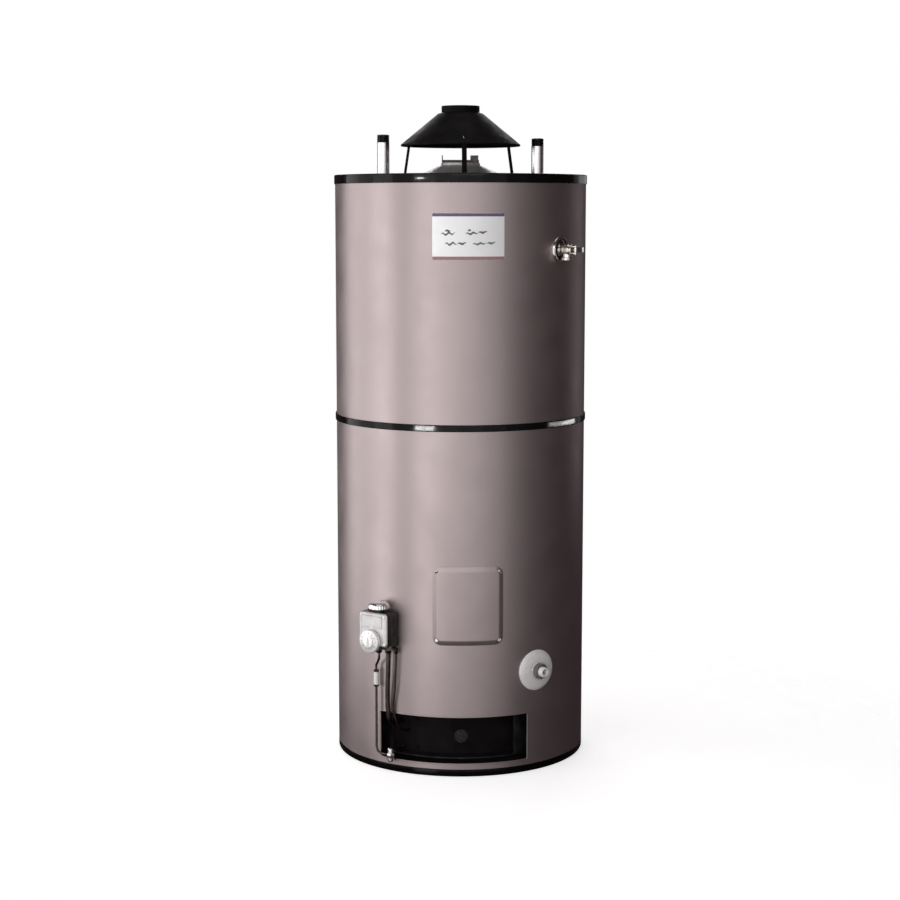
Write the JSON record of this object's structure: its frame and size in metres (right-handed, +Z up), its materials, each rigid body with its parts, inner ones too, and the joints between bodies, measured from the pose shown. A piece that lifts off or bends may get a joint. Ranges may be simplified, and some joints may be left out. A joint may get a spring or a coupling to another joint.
{
  "type": "tank water heater",
  "caption": "Floor-standing gas storage water heater: tall round painted jacket with draft hood, water nipples, relief and drain valves, gas control and burner.",
  "frame": {"origin": "centre of the base on the floor", "axes": "+Z up along the tank's axis; the front, with the gas control and the label, faces -Y; +X is to the right seen from the front"},
  "size_m": [0.6791, 0.6814, 1.744],
  "materials": {
    "jacket_paint": "satin",
    "black_enamel": "gloss",
    "black_satin": "satin",
    "foam": "matte",
    "tank_steel": "matte",
    "flue_steel": "satin",
    "galvanised": "satin",
    "zinc_plate": "satin",
    "brass": "satin",
    "nickel_brass": "satin",
    "cast_aluminium": "satin",
    "label": "satin",
    "anode_metal": "matte",
    "white_plastic": "gloss",
    "grey_plastic": "gloss",
    "red_plastic": "gloss",
    "copper": "satin",
    "burner_steel": "matte",
    "rubber": "matte",
    "glass": "clear"
  },
  "bodies": {
    "heater": {"base_ring": "black_enamel", "base_pan": "tank_steel", "jacket_lower": "jacket_paint", "jacket_upper": "jacket_paint", "jacket_band": "black_enamel", "top_cover": "black_enamel", "insulation_lower": "foam", "insulation_upper": "foam", "tank_shell": "tank_steel", "tank_bottom_head": "tank_steel", "tank_top_head": "tank_steel", "flue_tube": "flue_steel", "flue_baffle": "flue_steel", "flue_collar": "flue_steel", "draft_hood": "black_satin", "hood_leg_front": "black_satin", "hood_leg_right": "black_satin", "hood_leg_left": "black_satin", "cold_nipple": "galvanised", "hot_nipple": "galvanised", "dip_tube": "white_plastic", "anode_rod": "anode_metal", "label_plate": "label", "cleanout_cover": "jacket_paint", "handhole_gasket": "rubber", "handhole_plate": "tank_steel", "handhole_bolts": "zinc_plate", "relief_escutcheon": "white_plastic", "relief_body": "nickel_brass", "relief_spring": "flue_steel", "relief_lever_pin": "zinc_plate", "drain_escutcheon": "white_plastic", "drain_body": "white_plastic", "gas_body": "cast_aluminium", "gas_cover": "cast_aluminium", "pilot_spring": "flue_steel", "thermostat_probe": "copper", "tube_nuts": "brass", "burner_tube": "burner_steel", "pilot_tube": "burner_steel", "pilot_filter": "zinc_plate", "pilot_elbow": "nickel_brass", "thermocouple": "copper", "main_burner": "burner_steel", "burner_orifice": "brass", "burner_bracket": "burner_steel", "pilot_burner": "burner_steel", "access_frame": "black_satin", "inner_door": "black_satin", "sight_glass": "glass", "manifold_plate": "black_satin", "sheet_metal_screws": "zinc_plate"},
    "gas_cock_knob": {"gas_cock_knob": "grey_plastic"},
    "temperature_dial": {"temperature_dial": "grey_plastic"},
    "pilot_button": {"pilot_button": "red_plastic"},
    "relief_lever": {"relief_lever": "zinc_plate"},
    "relief_stem": {"relief_stem": "brass"},
    "drain_knob": {"drain_knob": "grey_plastic"},
    "drain_plug": {"drain_plug": "rubber"},
    "air_shutter": {"air_shutter": "burner_steel"}
  },
  "joints": [
    {"name": "gas_cock_turn", "type": "hinge", "parent": "heater", "child": "gas_cock_knob", "pos_m": [-0.22915, -0.28603, 0.434], "axis": [0, 0, 1], "range_deg": [0, 180]},
    {"name": "temperature_turn", "type": "hinge", "parent": "heater", "child": "temperature_dial", "pos_m": [-0.25072, -0.30335, 0.358], "axis": [-0.6252, -0.7804, 0], "range_deg": [-135, 135]},
    {"name": "pilot_press", "type": "slide", "parent": "heater", "child": "pilot_button", "axis": [0, 0, -1], "range_m": [0, 0.006], "stiffness_N_per_m": 400, "springref_m": -0.004, "deforming": ["pilot_spring"]},
    {"name": "relief_lever_turn", "type": "hinge", "parent": "heater", "child": "relief_lever", "pos_m": [0.27827, -0.27553, 1.367], "axis": [0, 0, -1], "range_deg": [0, 90], "stiffness_Nm_per_rad": 0.3, "springref_deg": -17.19},
    {"name": "relief_lift", "type": "slide", "parent": "heater", "child": "relief_stem", "axis": [0.7266, -0.6871, 0], "range_m": [0, 0.004], "deforming": ["relief_spring"]},
    {"name": "drain_turn", "type": "hinge", "parent": "heater", "child": "drain_knob", "pos_m": [0.19198, -0.29563, 0.27], "axis": [0.5446, -0.8387, 0], "range_deg": [0, 360]},
    {"name": "drain_lift", "type": "slide", "parent": "heater", "child": "drain_plug", "axis": [0.5446, -0.8387, 0], "range_m": [0, 0.008]},
    {"name": "air_shutter_turn", "type": "hinge", "parent": "heater", "child": "air_shutter", "pos_m": [0, 0, 0.109], "axis": [0, 0, 1], "range_deg": [-40, 40]}
  ],
  "couplings": [
    {"joint": "relief_lift", "follows": "relief_lever_turn", "m_per_rad": 0.00254},
    {"joint": "drain_lift", "follows": "drain_turn", "m_per_rad": 0.00127}
  ]
}
